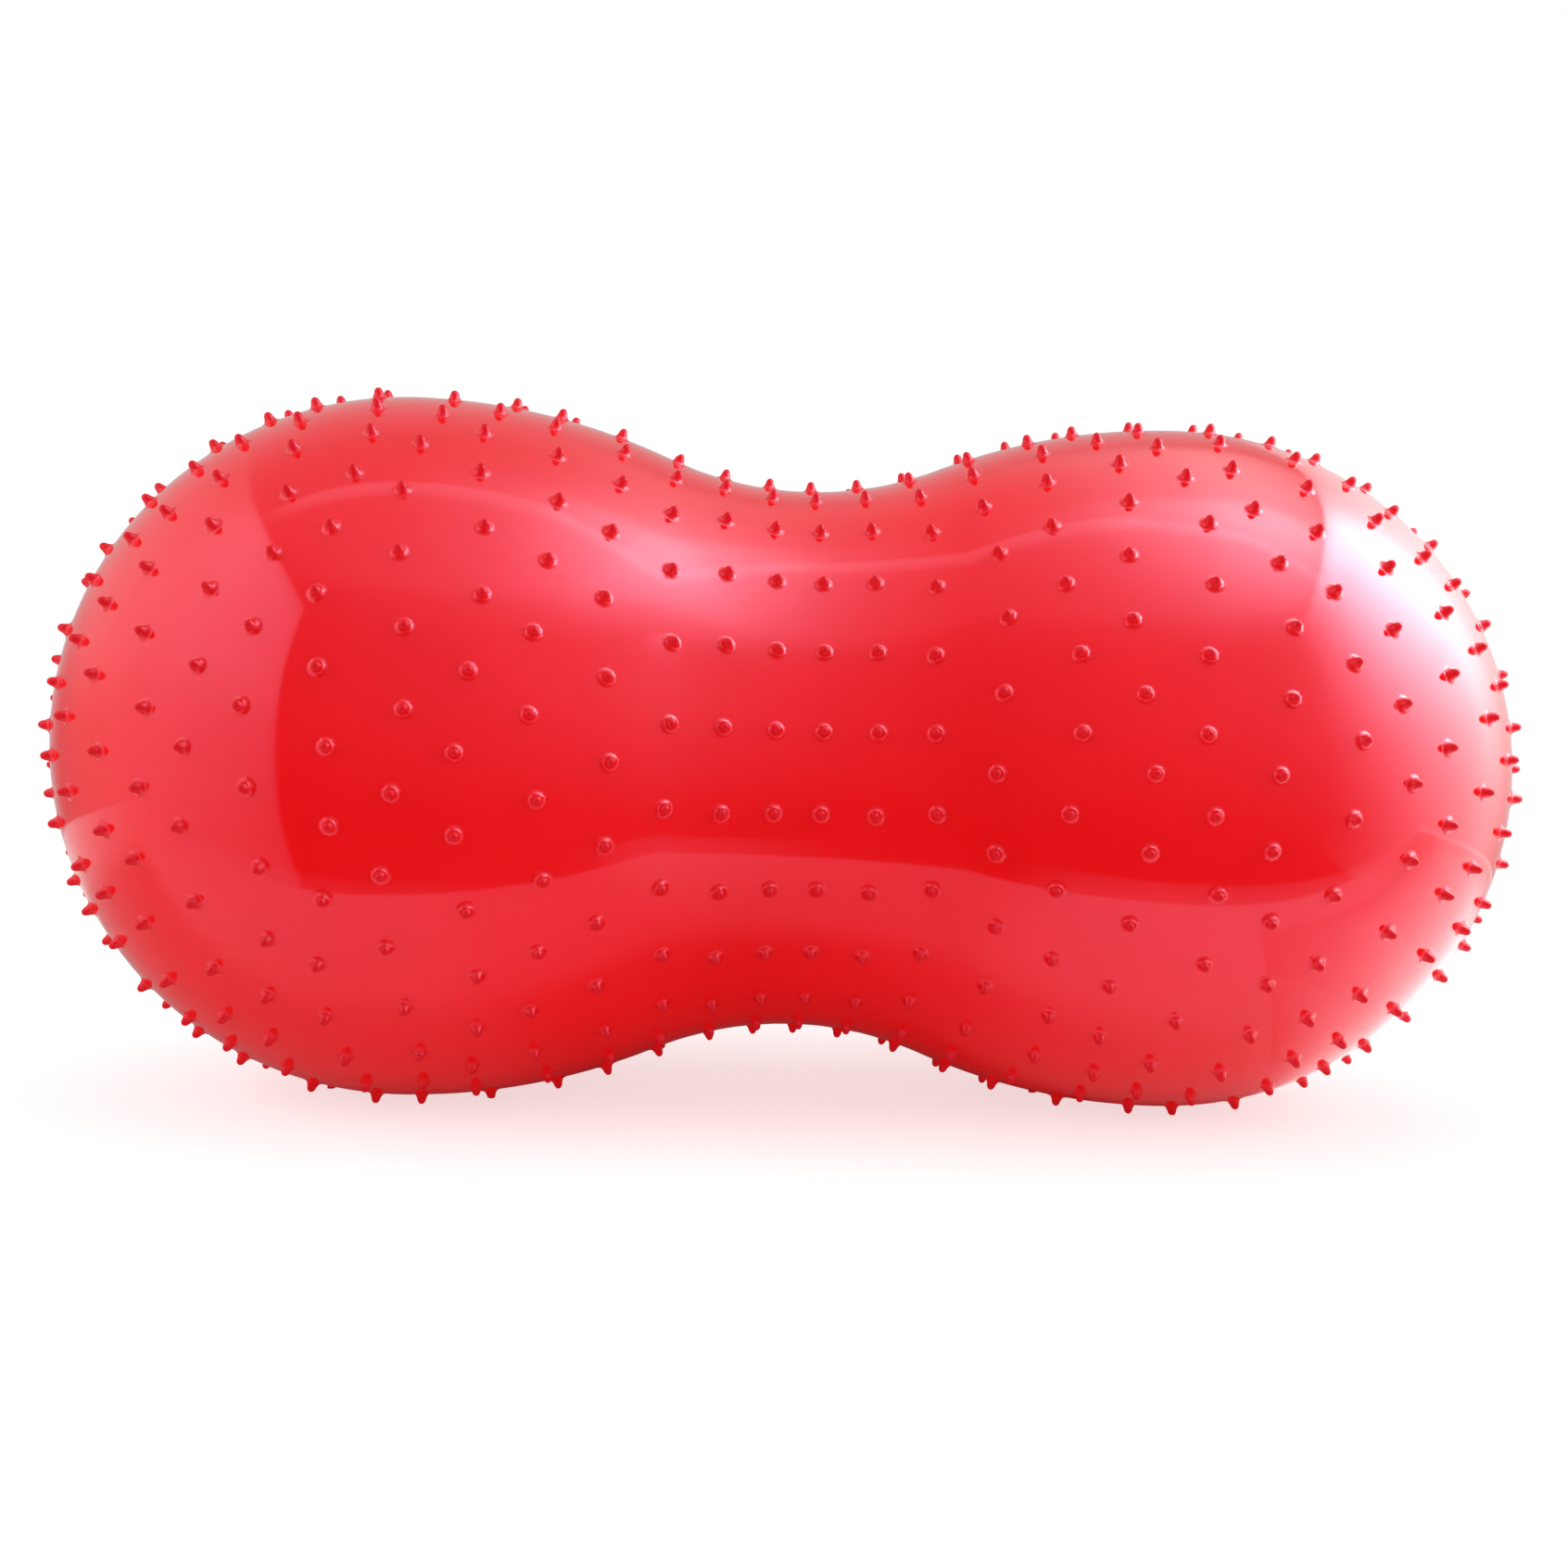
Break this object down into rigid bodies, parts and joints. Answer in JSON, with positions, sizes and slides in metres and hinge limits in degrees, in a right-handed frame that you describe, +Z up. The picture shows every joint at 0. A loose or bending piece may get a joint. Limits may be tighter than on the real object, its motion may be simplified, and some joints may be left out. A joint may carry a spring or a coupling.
{
  "type": "peanut exercise ball",
  "caption": "Inflated ball of two round lobes joined by a waist, with small rounded massage nubs all over its skin and an air plug in a valve seat at the back.",
  "frame": {"origin": "on the floor under the middle of the ball, at the bottom centre of its bounding box", "axes": "+X along the long axis towards the right lobe as the picture shows it, -Y towards the viewer, +Z up"},
  "size_m": [0.9144, 0.4464, 0.436],
  "materials": {
    "red_skin": "gloss, slightly see-through soft vinyl",
    "pale_plug": "satin"
  },
  "bodies": {
    "root": {"ball": "red_skin", "air_plug": "pale_plug"}
  },
  "joints": []
}
